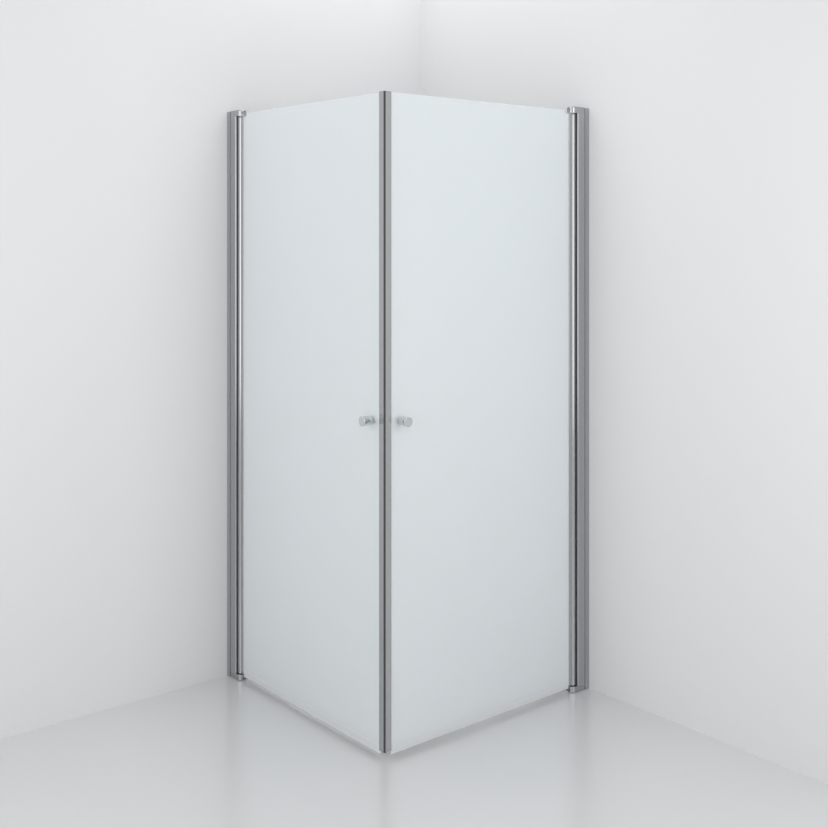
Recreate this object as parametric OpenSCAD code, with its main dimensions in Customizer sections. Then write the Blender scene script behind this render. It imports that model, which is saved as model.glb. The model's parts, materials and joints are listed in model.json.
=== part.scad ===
// Corner shower enclosure. Two frosted-glass doors, each hinged on its own wall post,
// close against each other at the free corner on mitred magnetic seals.
//
// Origin: the corner of the room at floor level. The left wall is the plane x = 0,
// the right wall is the plane y = 0, and z points up.
//
// Every piece is drawn once, for the left door, in that door's own plan:
//   s runs from the wall along the door (global x),
//   t runs from the frame's outer face inwards (global y + side).
// The right door is the same pieces mirrored across the vertical plane x + y = 0.

/* [Enclosure] */
// Size in plan, from each wall to the outer face of the frame
side = 900; // [700:5:1200]
// Height of the frame above the floor
frame_h = 2000; // [1600:10:2400]

/* [Wall channel] */
// How far the channel stands out from the wall
channel_reach = 20; // [16:1:28]
// Thickness of the channel's metal
channel_wall = 1.8; // [1.2:0.1:2.6]
// How much lower than the frame the channel ends at the top
channel_drop = 3; // [0:0.5:10]
// Play on each side between the channel and what slides into it
slide_gap = 0.2; // [0.1:0.05:0.4]
// Radius of a wall screw's hole
wall_hole_r = 2.75; // [2:0.25:3.5]
// Distance of the end wall screws from the frame's ends
wall_hole_end = 100; // [60:5:200]
// Distance between the two middle wall screws
wall_hole_mid = 600; // [300:10:800]
// Depth of the cap that closes the channel's top
cap_h = 12; // [8:1:20]
// Wall thickness of that cap
cap_wall = 1.6; // [1:0.1:2.5]

/* [Post] */
// Thickness of the post, from outside to inside
post_t = 35; // [30:1:44]
// Wall thickness of the post
post_wall = 2; // [1.4:0.1:3]
// Distance from the wall to the back of the post inside the channel
post_back = 6; // [5:0.5:12]
// Distance from the wall to the pivot axis
pivot_s = 65; // [62:1:80]
// Corner radius of the post beside the door
lip_r = 2.5; // [1:0.5:5]
// Thickness of the post's solid end beside the door
post_nose = 6; // [5:0.5:9]
// Running gap between the post's hollow seat and the door's round edge
seat_gap = 1; // [0.5:0.1:2]
// Depth of that seat in the post's end face
seat_depth = 1.75; // [1:0.25:3]
// Radius of the holes that the bracket screws bite into
port_r = 2.1; // [1.6:0.1:2.5]
// Wall round those holes
port_wall = 2.1; // [1.5:0.1:3]
// Thickness of the webs that carry them
web_t = 1.8; // [1.2:0.1:3]

/* [Post seals] */
// Width of a seal's foot
seal_w = 3; // [2:0.25:4]
// Depth of a seal's foot in the post
seal_foot = 2.2; // [1.5:0.1:3]
// Metal left between a seal's foot and the seat
seal_wall = 1; // [0.6:0.1:2]
// Width of a seal's lip
seal_lip_w = 2; // [1:0.1:3]
// Gap between a seal's lip and the glass clamp of a wide-open door
lip_gap = 0.4; // [0.3:0.05:1]
// Gap between a seal's lip and the round edge
wipe_gap = 0.3; // [0.25:0.05:0.6]

/* [Brackets] */
// Height of the top and bottom brackets
bracket_h = 22; // [20:1:30]
// Rounding of a bracket's outer edge
bracket_edge = 4; // [0.5:0.25:6]
// Gap between a bracket and the channel's edge
bracket_back_gap = 0.3; // [0.2:0.1:1]
// Solid floor left above a pivot pin in its bracket
pin_floor = 4; // [3:0.5:8]
// Radius of the pin screw's recess in the bracket's nose
recess_r = 6.25; // [5.5:0.25:7]
// Depth of that recess
recess_depth = 3.5; // [3:0.25:5]
// Distance of the two bracket screws from the pivot axis
bracket_screw_in = [21, 35]; // [18:1:42]

/* [Screws] */
// Radius of the clamp screws that hold the post in the channel
clamp_screw_r = 2; // [1.5:0.25:3]
// How far the end clamp screws lie inside the end wall screws
clamp_past = 50; // [20:5:200]
// Length of a clamp screw below its head
clamp_screw_len = 8; // [6:0.5:12]
// Radius and height of a clamp screw's head
clamp_head = [4, 2.4]; // [1.5:0.1:6]
// Radius of the pin screws that hold the pivot pins
pin_screw_r = 3; // [2:0.25:4]
// Radius and height of a pin screw's head
pin_screw_head = [4.4, 2.6]; // [1.5:0.1:6]
// Radius of a pin screw's hex socket, to its corners
hex_r = 2.3; // [1.5:0.1:3]
// Depth of that socket
hex_depth = 1.8; // [1:0.1:2.5]
// Radius of the bracket screws that hold the brackets to the post
bracket_screw_r = 2; // [1.5:0.1:2.1]
// Radius of their clearance holes in the bracket
bracket_screw_hole_r = 2.4; // [2.2:0.1:3]
// Depth of a bracket screw in the post
bracket_screw_bite = 18; // [10:1:30]
// Radius of a bracket screw's countersunk head
bracket_head_r = 4.5; // [3.5:0.25:6]
// Height of that head
bracket_head_h = 2.6; // [2:0.1:4]
// How far that head is sunk below the bracket's end
head_sink = 0.3; // [0.1:0.1:1]
// Length, width and depth of a screw head's cross recess
cross_size = [5, 1.1, 1.2]; // [0.8:0.1:7]

/* [Pivot] */
// Radius of a pivot pin
pin_r = 4; // [3:0.25:4.5]
// How far a pin stands out of its bracket
pin_out = 25; // [18:1:40]
// Chamfer of a pin's tip
pin_tip = 1; // [0.5:0.25:2]
// Play between a pin and the bush that turns on it
pin_play = 0.05; // [0.02:0.01:0.1]
// Outer radius of a bush
bush_r = 6; // [5.5:0.1:6.5]
// How far a bush's flange stands out past its body
flange_out = 1; // [0.5:0.1:2]
// Thickness of a bush's flange
flange_t = 1.8; // [1:0.1:3]
// Depth of a bush inside the door's hinge profile
bush_h = 24; // [16:1:36]
// Gap between the bottom bush and the bracket that it turns on
thrust_gap = 0.3; // [0.25:0.05:0.6]
// Gap between the hinge profile and the top bracket, for lifting the door
lift_gap = 5; // [4:0.5:10]

/* [Hinge profile] */
// Diameter of the door's round edge
hinge_d = 21.5; // [18:0.5:26]
// How far the glass clamp stands out past the round edge
clamp_out = 10.25; // [8.5:0.25:15]
// Thickness of the clamp's metal on each face of the glass
clamp_wall = 2.15; // [1.5:0.05:3]
// Depth of the glass clamp
clamp_depth = 10; // [8:0.5:11]
// Corner radius at the clamp's end
clamp_edge = 1; // [0.5:0.1:1.5]

/* [Glass] */
// Thickness of the pane
glass_t = 6; // [5:0.5:8]
// Gap between the bottom bracket and the pane's bottom edge
glass_up = 8; // [5:0.5:20]
// Distance of the pane's top edge below the frame's top
glass_drop = 13; // [10:1:15]
// Thickness of the gaskets round the pane's edges
gasket_t = 0.75; // [0.5:0.05:1.2]
// Assembly play between pieces that fit in each other
fit_gap = 0.05; // [0.02:0.01:0.1]
// How far the notch in the pane's top corner runs past the bracket's nose
notch_past = 25; // [2:1:40]
// Gap between that notch's lower edge and the hinge profile's top
notch_gap = 1.5; // [1:0.25:4]

/* [Closing profile] */
// Thickness of the closing profile
closing_t = 16; // [15:0.5:22]
// Width of its outer face
closing_w = 22.5; // [20:0.5:30]
// Depth of its slot for the glass
closing_depth = 8.5; // [7:0.5:9]
// Corner radius beside the glass
closing_edge = 1.5; // [0.5:0.1:2]
// How far it stands above the glass
closing_over = 1; // [0:0.5:3]

/* [Magnetic seal] */
// Thickness of the seal strip on the mitre
mag_seal_t = 3; // [2.6:0.1:4]
// Gap from the strip to the mitre plane, half of the gap between the two doors
mitre_gap = 0.15; // [0.15:0.05:0.5]
// How much of the mitre's sharp outer corner the strip leaves open
mitre_blunt = 1.2; // [0.5:0.1:3]
// Width and thickness of the magnet bar
magnet_size = [8, 1.6]; // [1:0.1:12]
// Distance from the outer edge of the profile's slanted face to the strip's foot
foot_in = 5.85; // [5:0.05:10]
// Width and depth of the strip foot's neck
foot_neck = [1.6, 1.4]; // [1:0.1:3]
// Width and depth of the strip foot's head
foot_head = [3.2, 1.2]; // [1:0.1:5]
// How much shorter than the strip the magnet bar is, at each end
magnet_short = 5; // [2:1:20]

/* [Bottom seal] */
// Wall thickness of the clip on the glass
clip_t = 1.2; // [0.8:0.1:1.8]
// Height of the clip on the glass
clip_h = 12; // [8:1:20]
// Distance of the seal's ends from the profiles
clip_end_gap = 1; // [0.5:0.5:5]
// Reach of the sealing lip below the glass
lip_drop = 14; // [8:1:16]
// Reach of the drip lip below the glass
drip_drop = 10; // [5:1:13]
// How far the sealing lip leans inwards
lip_lean = 1; // [0:0.2:2]
// How far the drip lip leans inwards
drip_lean = 3.8; // [1:0.2:5]
// Thickness of both lips at their tips
lip_tip = 1; // [0.6:0.1:1.4]

/* [Knob] */
// Height of the knob's axis above the floor
knob_z = 1007; // [850:1:1150]
// Distance of the knob's axis from the door's outer closing edge
knob_in = 62; // [50:1:90]
// Length of the knob's stem, from the glass
stem_len = 10; // [6:0.5:20]
// Radius of the stem
stem_r = 5.5; // [4.5:0.25:7]
// Length of the knob's body
knob_len = 32.5; // [20:0.5:45]
// Radius of the body beside the stem
knob_r0 = 13.4; // [9:0.1:16]
// Radius of the body at its face
knob_r1 = 15.4; // [10:0.1:18]
// Rounding of the body beside the stem and at its face
knob_round = [2.2, 0.9]; // [0.3:0.1:4]
// Radius of the hole in the glass
knob_hole_r = 6; // [5:0.25:8]
// Radius of the threaded stud
stud_r = 3; // [2.5:0.25:4]
// Depth of the stud in the knob
stud_in = 14; // [8:1:24]
// Radius of the washers
washer_r = 8.5; // [7:0.5:10]
// Thickness of a washer
washer_t = 1; // [0.5:0.1:2]
// Radius of the cap on the inner side
cap_r = 12; // [9:0.5:14]
// Thickness of that cap
inner_cap_t = 9; // [7:0.5:12]
// Rounding of that cap's edge
cap_round = 2; // [0.5:0.25:3]

/* [Hidden] */
$fn = 64;
over = 1;

// Colours
ALUMINIUM = [0.60, 0.61, 0.62];
CHROME = [0.80, 0.81, 0.82];
FROSTED = [0.86, 0.90, 0.91, 0.75];
RUBBER = [0.16, 0.17, 0.18];
CLEAR_PVC = [0.78, 0.82, 0.83, 0.6];
GREY_PLASTIC = [0.45, 0.46, 0.47];
STEEL = [0.66, 0.66, 0.68];

// Frame, in plan and in height
channel_t = post_t + 2 * (slide_gap + channel_wall);
channel_h = frame_h - channel_drop;
post_t0 = channel_wall + slide_gap;
post_t1 = post_t0 + post_t;
pivot_t = post_t0 + post_t / 2;
nose_r = post_t / 2;
post_z = [bracket_h, frame_h - bracket_h];
bracket_s0 = channel_reach + bracket_back_gap;
bracket_screw_s = [for (d = bracket_screw_in) pivot_s - d];
wall_hole_z = [
    wall_hole_end, (frame_h - wall_hole_mid) / 2,
    (frame_h + wall_hole_mid) / 2, frame_h - wall_hole_end
];
recess_s = pivot_s + nose_r - recess_depth;

// Round edge of the door, its seat in the post, and the seals beside the seat
hinge_r = hinge_d / 2;
slot_half = glass_t / 2 + gasket_t + 2 * fit_gap;
clamp_t = 2 * (slot_half + clamp_wall);
seat_r = hinge_r + seat_gap;
post_end_s = pivot_s - seat_r + seat_depth;
seal_off = sqrt(pow(seat_r, 2) - pow(seat_r - seat_depth, 2)) + seal_wall + seal_w / 2;
lip_end_s = pivot_s - clamp_t / 2 - lip_gap;

// Places of the clamp screws
clamp_s = (post_back + post_wall + channel_reach) / 2;
clamp_z = [wall_hole_end + clamp_past, frame_h / 2, frame_h - wall_hole_end - clamp_past];

// Door, in plan and in height
hinge_z = [bracket_h + thrust_gap + flange_t + fit_gap, post_z[1] - lift_gap];
clamp_end_s = pivot_s + hinge_r + clamp_out;
glass_out_t = pivot_t - glass_t / 2;
glass_in_t = pivot_t + glass_t / 2;
glass_s0 = clamp_end_s - clamp_depth + gasket_t + 2 * fit_gap;
glass_z = [bracket_h + glass_up, frame_h - glass_drop];
notch_s = pivot_s + nose_r + notch_past;
notch_z = hinge_z[1] + notch_gap;

// Closing edge: the mitre is the plane s + t = side
closing_t0 = pivot_t - closing_t / 2;
closing_t1 = pivot_t + closing_t / 2;
face_in = (mag_seal_t + mitre_gap) * sqrt(2);
closing_s1 = side - closing_t0 - face_in;
closing_s0 = closing_s1 - closing_w;
glass_s1 = closing_s0 + closing_depth - gasket_t - 2 * fit_gap;
closing_z = [glass_z[0], glass_z[1] + closing_over];

// Knob
knob_s = side - closing_t0 - knob_in;
knob_tip = stem_len + knob_len;

// The left door's plan placed in the room, and its mirror image for the right door
module left_side() {
    translate([0, -side, 0]) children();
}

module right_side() {
    mirror([1, 1, 0]) left_side() children();
}

// Points of an arc about [x, y], from angle a0 to a1
function arc(x, y, r, a0, a1, steps = 6) = [
    for (i = [0:steps])
        let (a = a0 + (a1 - a0) * i / steps)
            [x + r * cos(a), y + r * sin(a)]
];

// A box given by its low and high values along s, t and z
module block(s, t, z) {
    translate([s[0], t[0], z[0]]) cube([s[1] - s[0], t[1] - t[0], z[1] - z[0]]);
}

// A rectangle given by its low and high values along s and t
module patch(s, t) {
    translate([s[0], t[0]]) square([s[1] - s[0], t[1] - t[0]]);
}

module column(z) {
    translate([0, 0, z[0]]) linear_extrude(z[1] - z[0]) children();
}

// Round bar along +s, or along +t, from a given point
module bar_s(s, t, z, r, len) {
    translate([s, t, z]) rotate([0, 90, 0]) cylinder(h = len, r = r);
}

module bar_t(s, t, z, r, len) {
    translate([s, t, z]) rotate([-90, 0, 0]) cylinder(h = len, r = r);
}

// --- Frame -----------------------------------------------------------------

// U-shaped channel on the wall, with its wall screw holes and clamp screw holes
module wall_channel() {
    color(ALUMINIUM) difference() {
        block([0, channel_reach], [0, channel_t], [0, channel_h]);
        block(
            [channel_wall, channel_reach + over],
            [channel_wall, channel_t - channel_wall],
            [-over, channel_h + over]
        );
        for (z = wall_hole_z)
            bar_s(-over, pivot_t, z, wall_hole_r, channel_wall + 2 * over);
        for (z = clamp_z)
            bar_t(clamp_s, channel_t - channel_wall - over, z,
                clamp_screw_r + slide_gap, channel_wall + 2 * over);
    }
}

// Plug that closes the top of the channel behind the bracket
module channel_cap() {
    s = [channel_wall + fit_gap, channel_reach];
    t = [channel_wall + fit_gap, channel_t - channel_wall - fit_gap];
    color(GREY_PLASTIC) difference() {
        block(s, t, [channel_h - cap_h, channel_h]);
        block(
            [s[0] + cap_wall, s[1] - cap_wall],
            [t[0] + cap_wall, t[1] - cap_wall],
            [channel_h - cap_h - over, channel_h - cap_wall]
        );
    }
}

// Outline of the post: square at the back, rounded beside the door
module post_outline() {
    patch([post_back, post_end_s - lip_r], [post_t0, post_t1]);
    patch([post_back, post_end_s], [post_t0 + lip_r, post_t1 - lip_r]);
    for (t = [post_t0 + lip_r, post_t1 - lip_r])
        translate([post_end_s - lip_r, t]) circle(lip_r);
}

module seal_grooves(play) {
    for (side_sign = [-1, 1])
        translate([0, pivot_t + side_sign * seal_off])
            patch(
                [post_end_s - seal_foot - play, post_end_s + over],
                [-seal_w / 2 - play, seal_w / 2 + play]
            );
}

// Section of the post: a hollow box with two screw ports, a seat for the door's
// round edge and two grooves for the seals
module post_section() {
    difference() {
        union() {
            difference() {
                post_outline();
                patch(
                    [post_back + post_wall, post_end_s - post_nose],
                    [post_t0 + post_wall, post_t1 - post_wall]
                );
            }
            for (s = bracket_screw_s) {
                translate([s, pivot_t]) circle(port_r + port_wall);
                patch(
                    [s - web_t / 2, s + web_t / 2],
                    [post_t0 + post_wall / 2, post_t1 - post_wall / 2]
                );
            }
        }
        for (s = bracket_screw_s)
            translate([s, pivot_t]) circle(port_r);
        translate([pivot_s, pivot_t]) circle(seat_r);
        seal_grooves(fit_gap);
    }
}

module post() {
    color(ALUMINIUM) difference() {
        column(post_z) post_section();
        for (z = clamp_z)
            bar_t(clamp_s, post_t1 - post_wall - over, z,
                clamp_screw_r + fit_gap, post_wall + 2 * over);
    }
}

// Two rubber strips in the post's end that wipe the door's round edge
module post_seals() {
    color(RUBBER) column(post_z) difference() {
        for (side_sign = [-1, 1]) {
            centre = pivot_t + side_sign * seal_off;
            outer = centre + side_sign * seal_w / 2;
            inner = outer - side_sign * seal_lip_w;
            patch([post_end_s - seal_foot, post_end_s], [centre - seal_w / 2, centre + seal_w / 2]);
            patch(
                [post_end_s - seal_foot, lip_end_s],
                [min(outer, inner), max(outer, inner)]
            );
        }
        translate([pivot_s, pivot_t]) circle(hinge_r + wipe_gap);
    }
}

// Half of a bracket's cross-section, its outer edge rounded, its inner end flat
module bracket_half_section() {
    patch([0, nose_r], [bracket_edge, bracket_h]);
    patch([0, nose_r - bracket_edge], [0, bracket_h]);
    translate([nose_r - bracket_edge, bracket_edge]) circle(bracket_edge);
}

// A bracket standing on its outer end: a straight body with a round nose on the pivot
// axis, a blind bore for the pin, a recessed pin screw hole and two screw holes
module bracket() {
    color(ALUMINIUM) difference() {
        union() {
            translate([pivot_s, pivot_t, 0]) rotate_extrude() bracket_half_section();
            translate([bracket_s0, pivot_t, 0]) rotate([90, 0, 90])
                linear_extrude(pivot_s - bracket_s0) {
                    bracket_half_section();
                    mirror([1, 0]) bracket_half_section();
                }
        }
        translate([pivot_s, pivot_t, pin_floor])
            cylinder(h = bracket_h, r = pin_r + fit_gap);
        bar_s(pivot_s, pivot_t, bracket_h / 2, pin_screw_r + fit_gap, nose_r + over);
        bar_s(recess_s, pivot_t, bracket_h / 2, recess_r, nose_r);
        for (s = bracket_screw_s) translate([s, pivot_t, 0]) {
            translate([0, 0, -over]) cylinder(h = bracket_h + 2 * over, r = bracket_screw_hole_r);
            translate([0, 0, -over]) cylinder(h = over + head_sink, r = bracket_head_r + fit_gap);
            translate([0, 0, head_sink]) cylinder(
                h = bracket_head_h,
                r1 = bracket_head_r + fit_gap,
                r2 = bracket_screw_r + fit_gap
            );
        }
    }
}

module bottom_bracket() {
    bracket();
}

module top_bracket() {
    translate([0, 0, frame_h]) mirror([0, 0, 1]) bracket();
}

// Pivot pin standing up out of a bottom bracket, its tip chamfered
module pin() {
    z0 = pin_floor + fit_gap;
    z1 = bracket_h + pin_out;
    color(STEEL) translate([pivot_s, pivot_t, 0]) {
        translate([0, 0, z0]) cylinder(h = z1 - pin_tip - z0, r = pin_r);
        translate([0, 0, z1 - pin_tip]) cylinder(h = pin_tip, r1 = pin_r, r2 = pin_r - pin_tip);
    }
}

module bottom_pin() {
    pin();
}

module top_pin() {
    translate([0, 0, frame_h]) mirror([0, 0, 1]) pin();
}

// Screw through the bracket's nose onto the pin, its head sunk in the round recess
module pin_screw(z) {
    tip_s = pivot_s + pin_r + fit_gap;
    color(STEEL) difference() {
        union() {
            bar_s(recess_s + fit_gap, pivot_t, z, pin_screw_head[0], pin_screw_head[1]);
            bar_s(tip_s, pivot_t, z, pin_screw_r, recess_s + over - tip_s);
        }
        translate([recess_s + fit_gap + pin_screw_head[1] - hex_depth, pivot_t, z])
            rotate([0, 90, 0]) cylinder(h = hex_depth + over, r = hex_r, $fn = 6);
    }
}

module pin_screws() {
    for (z = [bracket_h / 2, frame_h - bracket_h / 2]) pin_screw(z);
}

// Cross recess in a screw head, cut downwards from z = 0
module cross_recess() {
    for (turn = [0, 90])
        rotate([0, 0, turn])
            translate([-cross_size[0] / 2, -cross_size[1] / 2, -cross_size[2]])
                cube([cross_size[0], cross_size[1], cross_size[2] + over]);
}

// Countersunk screw that enters a bracket from its outer end, upwards
module bracket_screw() {
    color(STEEL) difference() {
        union() {
            translate([0, 0, head_sink])
                cylinder(h = bracket_head_h, r1 = bracket_head_r, r2 = bracket_screw_r);
            translate([0, 0, head_sink])
                cylinder(h = bracket_h + bracket_screw_bite, r = bracket_screw_r);
        }
        translate([0, 0, head_sink]) mirror([0, 0, 1]) cross_recess();
    }
}

module bracket_screws() {
    for (s = bracket_screw_s) {
        translate([s, pivot_t, 0]) bracket_screw();
        translate([s, pivot_t, frame_h]) mirror([0, 0, 1]) bracket_screw();
    }
}

// Pan-head screws on the inner side, through the channel into the post
module clamp_screws() {
    head_t = channel_t + fit_gap;
    for (z = clamp_z)
        color(STEEL) difference() {
            union() {
                bar_t(clamp_s, head_t, z, clamp_head[0], clamp_head[1]);
                bar_t(clamp_s, head_t - clamp_screw_len, z, clamp_screw_r, clamp_screw_len + over);
            }
            translate([clamp_s, head_t + clamp_head[1], z]) rotate([-90, 0, 0]) cross_recess();
        }
}

// --- Door ------------------------------------------------------------------

// Section of the hinge profile: a round edge with a bore for the bushes, and a
// clamp for the glass
module hinge_section() {
    tip = clamp_end_s - clamp_edge;
    difference() {
        union() {
            translate([pivot_s, pivot_t]) circle(hinge_r);
            patch([pivot_s, tip], [pivot_t - clamp_t / 2, pivot_t + clamp_t / 2]);
            patch(
                [pivot_s, clamp_end_s],
                [pivot_t - clamp_t / 2 + clamp_edge, pivot_t + clamp_t / 2 - clamp_edge]
            );
            for (side_sign = [-1, 1])
                translate([tip, pivot_t + side_sign * (clamp_t / 2 - clamp_edge)])
                    circle(clamp_edge);
        }
        translate([pivot_s, pivot_t]) circle(bush_r + fit_gap);
        patch(
            [clamp_end_s - clamp_depth, clamp_end_s + over],
            [pivot_t - slot_half, pivot_t + slot_half]
        );
    }
}

module hinge_profile() {
    color(ALUMINIUM) column(hinge_z) hinge_section();
}

// Plastic bush with a flange; its flange lies below z = 0 and its body above
module bush() {
    color(GREY_PLASTIC) difference() {
        union() {
            translate([0, 0, -flange_t]) cylinder(h = flange_t, r = bush_r + flange_out);
            translate([0, 0, -flange_t]) cylinder(h = flange_t + bush_h, r = bush_r);
        }
        translate([0, 0, -flange_t - over])
            cylinder(h = flange_t + bush_h + 2 * over, r = pin_r + pin_play);
    }
}

module bottom_bush() {
    translate([pivot_s, pivot_t, hinge_z[0] - fit_gap]) bush();
}

module top_bush() {
    translate([pivot_s, pivot_t, hinge_z[1] + fit_gap]) mirror([0, 0, 1]) bush();
}

// The pane, notched at the top beside the hinge and drilled for the knob
module glass() {
    color(FROSTED) difference() {
        block([glass_s0, glass_s1], [glass_out_t, glass_in_t], glass_z);
        block(
            [glass_s0 - over, notch_s],
            [glass_out_t - over, glass_in_t + over],
            [notch_z, glass_z[1] + over]
        );
        bar_t(knob_s, glass_out_t - over, knob_z, knob_hole_r, glass_t + 2 * over);
    }
}

// U-shaped gasket round a vertical edge of the pane, open towards +s
module edge_gasket(s0, depth) {
    difference() {
        patch([s0 + fit_gap, s0 + depth], [pivot_t - slot_half + fit_gap, pivot_t + slot_half - fit_gap]);
        patch(
            [s0 + fit_gap + gasket_t, s0 + depth + over],
            [glass_out_t - fit_gap, glass_in_t + fit_gap]
        );
    }
}

module hinge_gasket() {
    color(CLEAR_PVC) column([glass_z[0], hinge_z[1]])
        edge_gasket(clamp_end_s - clamp_depth, clamp_depth);
}

module closing_gasket() {
    slot_end = closing_s0 + closing_depth;
    color(CLEAR_PVC) column(glass_z)
        translate([2 * slot_end, 0]) mirror([1, 0]) edge_gasket(slot_end, closing_depth);
}

// Plan of the mitre: x runs along it from the outer corner inwards, y into the left door
module on_mitre() {
    translate([side - closing_t0, closing_t0]) rotate(135) children();
}

module strip_foot(play) {
    on_mitre() translate([foot_in + mitre_gap + mag_seal_t, mitre_gap + mag_seal_t]) {
        patch([-foot_neck[0] / 2 - play, foot_neck[0] / 2 + play], [-over, foot_neck[1] + over]);
        patch(
            [-foot_head[0] / 2 - play, foot_head[0] / 2 + play],
            [foot_neck[1] - play, foot_neck[1] + foot_head[1] + play]
        );
    }
}

// Section of the closing profile: its end is cut at 45 degrees for the strip
module closing_section() {
    flat_t = [closing_t0 + closing_edge, closing_t1 - closing_edge];
    difference() {
        union() {
            patch([closing_s0 + closing_edge, side], [closing_t0, closing_t1]);
            patch([closing_s0, side], flat_t);
            for (t = flat_t)
                translate([closing_s0 + closing_edge, t]) circle(closing_edge);
        }
        on_mitre() patch([-side, side], [-side, mitre_gap + mag_seal_t]);
        patch(
            [closing_s0 - over, closing_s0 + closing_depth],
            [pivot_t - slot_half, pivot_t + slot_half]
        );
        strip_foot(fit_gap);
    }
}

module closing_profile() {
    color(ALUMINIUM) column(closing_z) closing_section();
}

// Plan of the hollow that holds the magnet bar
module magnet_plan(play) {
    along = mitre_blunt + (closing_t * sqrt(2) - magnet_size[0]) / 2;
    across = mitre_gap + (mag_seal_t - magnet_size[1]) / 2;
    on_mitre() patch(
        [along - play, along + magnet_size[0] + play],
        [across - play, across + magnet_size[1] + play]
    );
}

// Rubber strip on the mitre, with its foot in the closing profile
module magnet_seal() {
    color(RUBBER) column(closing_z) difference() {
        union() {
            intersection() {
                on_mitre() patch([mitre_blunt, side], [mitre_gap, mitre_gap + mag_seal_t - fit_gap]);
                patch([0, side], [closing_t0, closing_t1]);
            }
            difference() {
                strip_foot(0);
                on_mitre() patch([-side, side], [-side, mitre_gap]);
            }
        }
        magnet_plan(fit_gap);
    }
}

module magnet() {
    color(STEEL)
        column([closing_z[0] + magnet_short, closing_z[1] - magnet_short])
            magnet_plan(0);
}

// Section of the bottom seal, drawn in t and z about the pane's bottom edge: a clip on
// the glass, a sealing lip under it and a drip lip that leads water inwards
module bottom_seal_section() {
    inner = glass_t / 2 + fit_gap;
    outer = inner + clip_t;
    web = -fit_gap - clip_t;
    for (side_sign = [-1, 1])
        translate([side_sign * (inner + outer) / 2, 0])
            patch([-clip_t / 2, clip_t / 2], [web, clip_h]);
    patch([-outer, outer], [web, -fit_gap]);
    for (lip = [[-outer + clip_t, lip_lean, lip_drop], [outer - clip_t, drip_lean, drip_drop]])
        polygon([
            [lip[0] + lip[1], -lip[2]], [lip[0] + lip[1] + lip_tip, -lip[2]],
            [lip[0] + clip_t, web / 2], [lip[0], web / 2]
        ]);
}

module bottom_seal() {
    s0 = clamp_end_s + clip_end_gap;
    s1 = closing_s0 - clip_end_gap;
    color(CLEAR_PVC) translate([s0, pivot_t, glass_z[0]]) rotate([90, 0, 90])
        linear_extrude(s1 - s0) bottom_seal_section();
}

// --- Knob ------------------------------------------------------------------

// The knob's axis: z = 0 is the pane's outer face and z runs outwards
module on_knob_axis() {
    translate([knob_s, glass_out_t, knob_z]) rotate([90, 0, 0]) children();
}

// Turned knob: a thin stem, then a body that widens towards its flat face
module knob() {
    r0 = knob_round[0];
    r1 = knob_round[1];
    body = concat(
        [[0, stem_len]],
        arc(knob_r0 - r0, stem_len + r0, r0, -90, 0),
        arc(knob_r1 - r1, knob_tip - r1, r1, 0, 90),
        [[0, knob_tip]]
    );
    color(CHROME) on_knob_axis() difference() {
        union() {
            rotate_extrude() polygon(body);
            translate([0, 0, washer_t + 2 * fit_gap])
                cylinder(h = stem_len - washer_t, r = stem_r);
        }
        cylinder(h = washer_t + 2 * fit_gap + stud_in + fit_gap, r = stud_r + fit_gap);
    }
}

module knob_stud() {
    inner_end = glass_t + washer_t + inner_cap_t / 2;
    color(STEEL) on_knob_axis() translate([0, 0, -inner_end])
        cylinder(h = inner_end + washer_t + stud_in, r = stud_r);
}

// Plastic sleeve that keeps the stud off the glass
module knob_sleeve() {
    color(CLEAR_PVC) on_knob_axis() translate([0, 0, -glass_t]) difference() {
        cylinder(h = glass_t, r = knob_hole_r - fit_gap);
        translate([0, 0, -over]) cylinder(h = glass_t + 2 * over, r = stud_r + fit_gap);
    }
}

module knob_washers() {
    color(CLEAR_PVC) on_knob_axis()
        for (z = [fit_gap, -glass_t - washer_t - fit_gap])
            translate([0, 0, z]) difference() {
                cylinder(h = washer_t, r = washer_r);
                translate([0, 0, -over]) cylinder(h = washer_t + 2 * over, r = stud_r + fit_gap);
            }
}

// Low cap nut on the inner side of the pane
module inner_cap() {
    z0 = glass_t + washer_t + 2 * fit_gap;
    color(CHROME) translate([knob_s, glass_out_t, knob_z]) rotate([-90, 0, 0])
        translate([0, 0, z0]) difference() {
            rotate_extrude() polygon(concat(
                [[0, 0], [cap_r, 0]],
                arc(cap_r - cap_round, inner_cap_t - cap_round, cap_round, 0, 90),
                [[0, inner_cap_t]]
            ));
            translate([0, 0, -over])
                cylinder(h = over + inner_cap_t / 2 + 2 * fit_gap, r = stud_r + fit_gap);
        }
}

// --- Left door and its frame -------------------------------------------------

left_side() wall_channel();  // left_wall_channel
left_side() channel_cap();  // left_channel_cap
left_side() post();  // left_post
left_side() post_seals();  // left_post_seals
left_side() top_bracket();  // left_top_bracket
left_side() bottom_bracket();  // left_bottom_bracket
left_side() top_pin();  // left_top_pin
left_side() bottom_pin();  // left_bottom_pin
left_side() pin_screws();  // left_pin_screws
left_side() bracket_screws();  // left_bracket_screws
left_side() clamp_screws();  // left_clamp_screws
left_side() hinge_profile();  // left_hinge_profile
left_side() top_bush();  // left_top_bush
left_side() bottom_bush();  // left_bottom_bush
left_side() glass();  // left_glass
left_side() hinge_gasket();  // left_hinge_gasket
left_side() closing_gasket();  // left_closing_gasket
left_side() closing_profile();  // left_closing_profile
left_side() magnet_seal();  // left_magnet_seal
left_side() magnet();  // left_magnet
left_side() bottom_seal();  // left_bottom_seal
left_side() knob();  // left_knob
left_side() knob_stud();  // left_knob_stud
left_side() knob_sleeve();  // left_knob_sleeve
left_side() knob_washers();  // left_knob_washers
left_side() inner_cap();  // left_inner_cap

// --- Right door and its frame ------------------------------------------------

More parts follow.
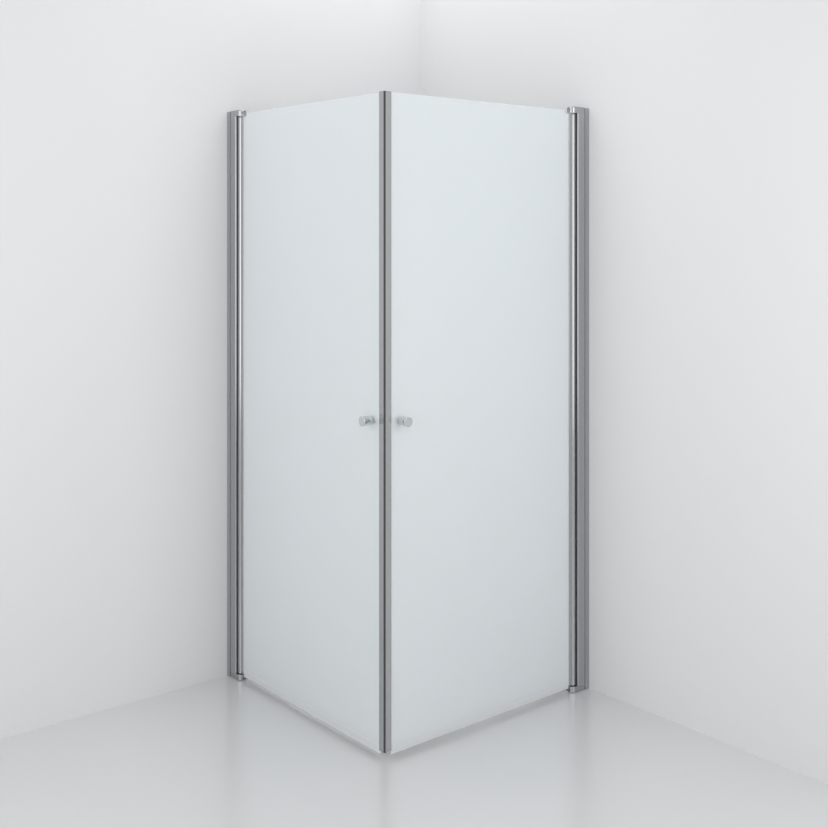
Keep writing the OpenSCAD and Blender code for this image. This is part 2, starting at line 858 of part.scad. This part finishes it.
right_side() wall_channel();  // right_wall_channel
right_side() channel_cap();  // right_channel_cap
right_side() post();  // right_post
right_side() post_seals();  // right_post_seals
right_side() top_bracket();  // right_top_bracket
right_side() bottom_bracket();  // right_bottom_bracket
right_side() top_pin();  // right_top_pin
right_side() bottom_pin();  // right_bottom_pin
right_side() pin_screws();  // right_pin_screws
right_side() bracket_screws();  // right_bracket_screws
right_side() clamp_screws();  // right_clamp_screws
right_side() hinge_profile();  // right_hinge_profile
right_side() top_bush();  // right_top_bush
right_side() bottom_bush();  // right_bottom_bush
right_side() glass();  // right_glass
right_side() hinge_gasket();  // right_hinge_gasket
right_side() closing_gasket();  // right_closing_gasket
right_side() closing_profile();  // right_closing_profile
right_side() magnet_seal();  // right_magnet_seal
right_side() magnet();  // right_magnet
right_side() bottom_seal();  // right_bottom_seal
right_side() knob();  // right_knob
right_side() knob_stud();  // right_knob_stud
right_side() knob_sleeve();  // right_knob_sleeve
right_side() knob_washers();  // right_knob_washers
right_side() inner_cap();  // right_inner_cap
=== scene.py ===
"""Corner shower enclosure: frosted doors, aluminium profiles and chrome fittings."""

import json
import math

import bpy
import numpy as np
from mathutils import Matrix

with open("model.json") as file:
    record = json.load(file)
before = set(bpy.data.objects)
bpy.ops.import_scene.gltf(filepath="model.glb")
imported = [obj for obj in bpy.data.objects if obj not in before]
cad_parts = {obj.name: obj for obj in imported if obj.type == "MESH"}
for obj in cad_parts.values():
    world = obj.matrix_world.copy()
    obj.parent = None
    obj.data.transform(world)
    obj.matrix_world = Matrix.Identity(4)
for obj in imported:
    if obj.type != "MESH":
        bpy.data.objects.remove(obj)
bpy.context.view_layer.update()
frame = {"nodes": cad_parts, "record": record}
NODES = frame["nodes"]
SIDES = ("left", "right")
MM = 0.001

# --- The photograph's view -----------------------------------------------------

IMAGE_PX = 828  # the image is square
FOCAL_PX = 1140.64
HORIZON_PX = 234.92  # the row at the camera's own height
CAMERA_PLACE = (3.5374, -2.9742, 1.5617)
CAMERA_TURN = 50.3  # degrees from +Y towards -X
SENSOR_MM = 36.0

# --- The room that the light plays in --------------------------------------------

LEFT_REACH, RIGHT_REACH = 2.6, 1.9  # how far the backdrop walls run from the corner
WALL_HEIGHT = 2.75
WALL_SKIN = 0.0005  # the walls' faces lie this far into the room, clear of the channels' backs
FLOOR_REACH = 9.0
WALL_COLOUR = "E2E2E3"
FLOOR_COLOUR = "CFD0D1"
SKY = ((0.0, "BCBCBC"), (0.5, "E4E4E5"), (1.0, "F8F8F8"))  # straight down, level, straight up


# --- Materials ---------------------------------------------------------------------


def linear(hex_code):
    """The linear RGBA of an sRGB hex colour, such as "D8DADB"."""
    srgb = [int(hex_code[i : i + 2], 16) / 255 for i in (0, 2, 4)]
    return [c / 12.92 if c <= 0.04045 else ((c + 0.055) / 1.055) ** 2.4 for c in srgb] + [1.0]


def add(tree, kind, settings=None, inputs=None, links=None):
    """Adds one node with its settings, its input values, and links from other nodes' outputs."""
    node = tree.nodes.new(kind)
    for name, value in (settings or {}).items():
        setattr(node, name, value)
    for name, value in (inputs or {}).items():
        node.inputs[name].default_value = value
    for name, output in (links or {}).items():
        tree.links.new(output, node.inputs[name])
    return node


def material(name, base, **sockets):
    """A Principled material, ready for its texture nodes. Returns (material, tree, shader)."""
    made = bpy.data.materials.new(name)
    made.use_nodes = True
    tree = made.node_tree
    shader = tree.nodes["Principled BSDF"]
    shader.inputs["Base Color"].default_value = linear(base)
    for socket, value in sockets.items():
        shader.inputs[socket.replace("_", " ")].default_value = value
    made.diffuse_color = linear(base)
    return made, tree, shader


def stretched_noise(tree, scale_mm, stretch, detail=3.0):
    """Noise whose grains are scale_mm wide, and stretch times longer along X, Y or Z."""
    place = add(tree, "ShaderNodeTexCoord")
    size = [1.0 / (scale_mm * MM * s) for s in stretch]
    sized = add(
        tree,
        "ShaderNodeMapping",
        inputs={"Scale": size},
        links={"Vector": place.outputs["Object"]},
    )
    return add(
        tree,
        "ShaderNodeTexNoise",
        inputs={"Scale": 1.0, "Detail": detail, "Roughness": 0.6},
        links={"Vector": sized.outputs["Vector"]},
    )


def ramp(tree, source, low, high):
    """Maps a 0 to 1 source onto low to high."""
    return add(
        tree,
        "ShaderNodeMapRange",
        inputs={"To Min": low, "To Max": high},
        links={"Value": source},
    ).outputs["Result"]


def bump(tree, shader, height, strength, distance_mm):
    """Raises the shader's surface by height, up to distance_mm at full strength."""
    node = add(
        tree,
        "ShaderNodeBump",
        inputs={"Strength": strength, "Distance": distance_mm * MM},
        links={"Height": height},
    )
    tree.links.new(node.outputs["Normal"], shader.inputs["Normal"])


def anodised_aluminium():
    """Extruded aluminium, brightened and clear anodised: silver-grey, a soft gloss, faint
    lines drawn lengthwise by the die. The lines are coarser than real ones, so that they show."""
    made, tree, shader = material("anodised_aluminium", "B7B8BA", Metallic=1.0)
    lines = stretched_noise(tree, 0.7, (1, 1, 5000))
    clouds = stretched_noise(tree, 60, (1, 1, 5))
    tree.links.new(ramp(tree, clouds.outputs["Fac"], 0.14, 0.22), shader.inputs["Roughness"])
    bump(tree, shader, lines.outputs["Fac"], 0.12, 0.02)
    return made


def cast_aluminium():
    """Die-cast aluminium, polished and anodised like the profiles: the same silver-grey, a
    little glossier and without drawn lines."""
    made, tree, shader = material("cast_aluminium", "B2B3B5", Metallic=1.0)
    clouds = stretched_noise(tree, 8, (1, 1, 1))
    tree.links.new(ramp(tree, clouds.outputs["Fac"], 0.1, 0.2), shader.inputs["Roughness"])
    return made


def chrome():
    """Polished zinc casting with chromium plate: a clear mirror, slightly cool."""
    made, tree, shader = material("chrome", "D8DADC", Metallic=1.0)
    smears = stretched_noise(tree, 9, (1, 1, 1))
    tree.links.new(ramp(tree, smears.outputs["Fac"], 0.02, 0.06), shader.inputs["Roughness"])
    return made


def stainless_steel():
    """Turned stainless steel: grey, half matt, with turning marks drawn coarse enough to show."""
    made, tree, shader = material("stainless_steel", "B9BABC", Metallic=1.0)
    marks = stretched_noise(tree, 0.5, (4, 4, 1))
    tree.links.new(ramp(tree, marks.outputs["Fac"], 0.22, 0.4), shader.inputs["Roughness"])
    return made


def frosted_glass():
    """Safety glass, acid-etched on the inside: milky, with a smooth wet gloss on the outside.
    The etched grain is drawn coarser than it is, so that it shows."""
    made, tree, shader = material(
        "frosted_glass", "F4FAFC",
        IOR=1.52, Transmission_Weight=0.3, Coat_Weight=1.0, Coat_Roughness=0.03,
    )
    grain = stretched_noise(tree, 1.2, (1, 1, 1), detail=4.0)
    tree.links.new(ramp(tree, grain.outputs["Fac"], 0.5, 0.6), shader.inputs["Roughness"])
    return made


def black_rubber():
    """Extruded EPDM rubber: near black, satin."""
    made, tree, shader = material("black_rubber", "3A3C3D")
    grain = stretched_noise(tree, 0.8, (1, 1, 40))
    tree.links.new(ramp(tree, grain.outputs["Fac"], 0.45, 0.65), shader.inputs["Roughness"])
    return made


def clear_plastic():
    """Extruded soft PVC: milky, so that it hardly shows on the frosted glass."""
    made, tree, shader = material("clear_plastic", "F6F9FA", IOR=1.53, Transmission_Weight=0.3)
    grain = stretched_noise(tree, 2.0, (1, 1, 1))
    tree.links.new(ramp(tree, grain.outputs["Fac"], 0.35, 0.45), shader.inputs["Roughness"])
    return made


def grey_plastic():
    """Moulded acetal: mid-grey, with a fine spark-eroded grain."""
    made, tree, shader = material("grey_plastic", "77797B", Roughness=0.5)
    grain = stretched_noise(tree, 0.6, (1, 1, 1))
    bump(tree, shader, grain.outputs["Fac"], 0.3, 0.03)
    return made


def magnet_ferrite():
    """Plastic-bonded ferrite: black, matt, slightly speckled."""
    made, tree, shader = material("magnet_ferrite", "242322")
    grain = stretched_noise(tree, 0.4, (1, 1, 1))
    tree.links.new(ramp(tree, grain.outputs["Fac"], 0.6, 0.85), shader.inputs["Roughness"])
    return made


FINISHES = {
    "anodised_aluminium": anodised_aluminium(),
    "cast_aluminium": cast_aluminium(),
    "chrome": chrome(),
    "stainless_steel": stainless_steel(),
    "frosted_glass": frosted_glass(),
    "black_rubber": black_rubber(),
    "clear_plastic": clear_plastic(),
    "grey_plastic": grey_plastic(),
    "magnet": magnet_ferrite(),
}

for part in frame["record"]["subparts"]:
    mesh = NODES[part["node"]].data
    mesh.materials.clear()
    mesh.materials.append(FINISHES[part["material_slot"]])


# --- Floor, walls, light and camera --------------------------------------------------


def wall_paint_material():
    """Matt white wall paint. It isn't seen from behind, so that the walls never hide the
    enclosure."""
    made, tree, shader = material("wall_paint", WALL_COLOUR, Roughness=0.9, Specular_IOR_Level=0.1)
    facing = add(tree, "ShaderNodeNewGeometry")
    clear = add(tree, "ShaderNodeBsdfTransparent")
    mix = add(tree, "ShaderNodeMixShader", links={"Fac": facing.outputs["Backfacing"]})
    tree.links.new(shader.outputs["BSDF"], mix.inputs[1])
    tree.links.new(clear.outputs["BSDF"], mix.inputs[2])
    tree.links.new(mix.outputs["Shader"], tree.nodes["Material Output"].inputs["Surface"])
    return made


def floor_material():
    """Pale floor with a soft gloss."""
    return material(
        "floor_finish", FLOOR_COLOUR,
        Roughness=0.25, Specular_IOR_Level=0.6, Coat_Weight=1.0, Coat_Roughness=0.18,
    )[0]


def stage_plane(name, corners, surface):
    """A flat four-cornered surface of the room, its face towards the side that sees the
    corners run anticlockwise."""
    mesh = bpy.data.meshes.new(name)
    mesh.from_pydata(corners, [], [(0, 1, 2, 3)])
    mesh.materials.append(surface)
    plane = bpy.data.objects.new(name, mesh)
    bpy.context.scene.collection.objects.link(plane)


wall_paint = wall_paint_material()
floor_finish = floor_material()
stage_plane(
    "left_wall",
    [
        (WALL_SKIN, -LEFT_REACH, 0),
        (WALL_SKIN, 0, 0),
        (WALL_SKIN, 0, WALL_HEIGHT),
        (WALL_SKIN, -LEFT_REACH, WALL_HEIGHT),
    ],
    wall_paint,
)
stage_plane(
    "right_wall",
    [
        (0, -WALL_SKIN, 0),
        (RIGHT_REACH, -WALL_SKIN, 0),
        (RIGHT_REACH, -WALL_SKIN, WALL_HEIGHT),
        (0, -WALL_SKIN, WALL_HEIGHT),
    ],
    wall_paint,
)
stage_plane(
    "floor",
    [
        (-FLOOR_REACH, -FLOOR_REACH, 0),
        (FLOOR_REACH, -FLOOR_REACH, 0),
        (FLOOR_REACH, FLOOR_REACH, 0),
        (-FLOOR_REACH, FLOOR_REACH, 0),
    ],
    floor_finish,
)


def softbox(name, place, target, width, height, watts, beam=180.0):
    """A flat area lamp at place, turned towards target, with its beam's width in degrees.
    The camera doesn't see the lamp itself, which would stand as a white card in other views."""
    lamp = bpy.data.lights.new(name, "AREA")
    lamp.shape = "RECTANGLE"
    lamp.size, lamp.size_y = width, height
    lamp.energy = watts
    lamp.spread = math.radians(beam)
    held = bpy.data.objects.new(name, lamp)
    bpy.context.scene.collection.objects.link(held)
    held.location = place
    towards = np.array(target, float) - np.array(place, float)
    towards /= np.linalg.norm(towards)
    turn = math.atan2(towards[1], towards[0]) - math.pi / 2
    tilt = math.acos(-towards[2])
    held.rotation_euler = (tilt, 0, turn)
    held.visible_camera = False
    return held


softbox(
    "ceiling_light",
    place=(0.5, -0.5, 3.1), target=(0.5, -0.5, 0.0), width=1.4, height=1.4, watts=9.0,
)
softbox(
    "right_window",
    place=(2.9, -0.6, 1.5), target=(0.0, -1.0, 1.5), width=1.1, height=1.8, watts=10.5,
)
softbox(
    "left_window",
    place=(1.3, -3.0, 1.5), target=(0.6, 0.0, 1.2), width=2.4, height=1.8, watts=14.5,
)
# Lights the floor behind the doors, which the panes keep dark
inside_light = softbox(
    "inside_light",
    place=(0.46, -0.46, 2.74), target=(0.46, -0.46, 0.0), width=0.6, height=0.6, watts=1.7,
    beam=40.0,
)
inside_light.visible_glossy = False  # its narrow beam would glare on the floor in steep views

world = bpy.data.worlds.new("studio")
bpy.context.scene.world = world
world.use_nodes = True
sky = world.node_tree
background = sky.nodes["Background"]
direction = add(sky, "ShaderNodeTexCoord")
axes = add(sky, "ShaderNodeSeparateXYZ", links={"Vector": direction.outputs["Generated"]})
upward = add(
    sky, "ShaderNodeMapRange", inputs={"From Min": -1.0}, links={"Value": axes.outputs["Z"]}
)
shade = add(sky, "ShaderNodeValToRGB", links={"Fac": upward.outputs["Result"]})
stops = shade.color_ramp.elements
while len(stops) < len(SKY):
    stops.new(0.5)
for stop, (position, colour) in zip(stops, SKY):
    stop.position = position
    stop.color = linear(colour)
sky.links.new(shade.outputs["Color"], background.inputs["Color"])
background.inputs["Strength"].default_value = 1.0

lens = bpy.data.cameras.new("camera")
lens.sensor_width = SENSOR_MM
lens.lens = FOCAL_PX * SENSOR_MM / IMAGE_PX
lens.shift_y = (HORIZON_PX - IMAGE_PX / 2) / IMAGE_PX
camera = bpy.data.objects.new("camera", lens)
bpy.context.scene.collection.objects.link(camera)
camera.location = CAMERA_PLACE
camera.rotation_euler = (math.pi / 2, 0, math.radians(CAMERA_TURN))
bpy.context.scene.camera = camera
bpy.context.scene.view_settings.view_transform = "Standard"
